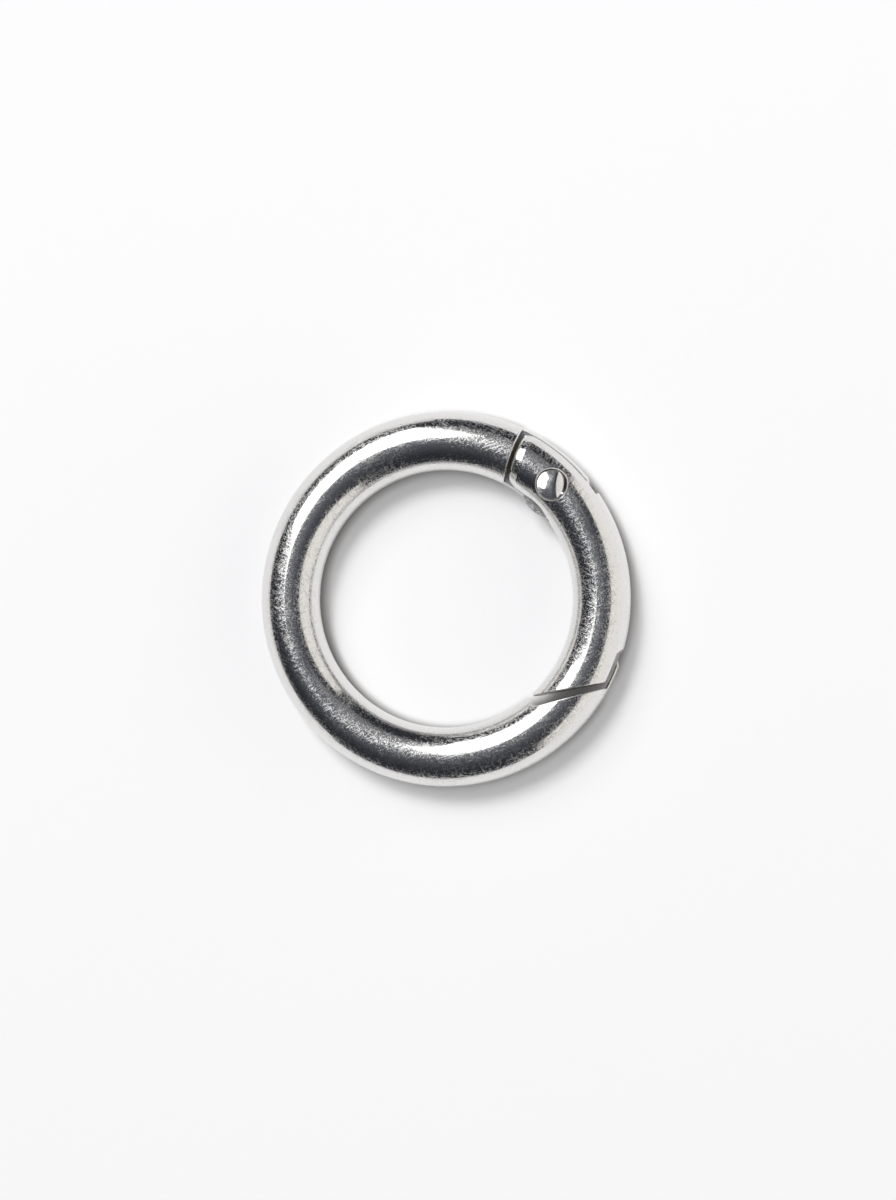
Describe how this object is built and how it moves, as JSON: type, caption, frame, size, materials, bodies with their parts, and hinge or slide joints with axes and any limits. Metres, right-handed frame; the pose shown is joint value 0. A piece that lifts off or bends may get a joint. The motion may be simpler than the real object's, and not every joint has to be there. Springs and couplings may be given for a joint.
{
  "type": "spring ring clasp",
  "caption": "Round metal ring closed by a hinged, spring-loaded gate that swings into the eye and springs back against a lip.",
  "frame": {"origin": "centre of the ring's eye, on the ring's mid-plane", "axes": "+Z along the ring's axis, on the side of the rivet's domed head; the hinge lies at 45 degrees from +X towards +Y"},
  "size_m": [0.0355, 0.0356, 0.0056],
  "materials": {
    "nickel_plated_zinc": "bright nickel plating, tumbled, with fine scratches",
    "nickel_plated_steel": "bright nickel plating",
    "spring_steel": "bright drawn wire"
  },
  "bodies": {
    "ring": {"ring_body": "nickel_plated_zinc"},
    "gate_arm": {"gate": "nickel_plated_zinc", "hinge_rivet": "nickel_plated_steel", "gate_spring": "spring_steel"}
  },
  "joints": [
    {"name": "gate_hinge", "type": "hinge", "parent": "ring", "child": "gate_arm", "pos_m": [0.01061, 0.01061, 0], "axis": [0, 0, -1], "range_deg": [0, 35], "stiffness_Nm_per_rad": 0.01, "springref_deg": -85.94, "deforming": ["gate_spring"]}
  ]
}
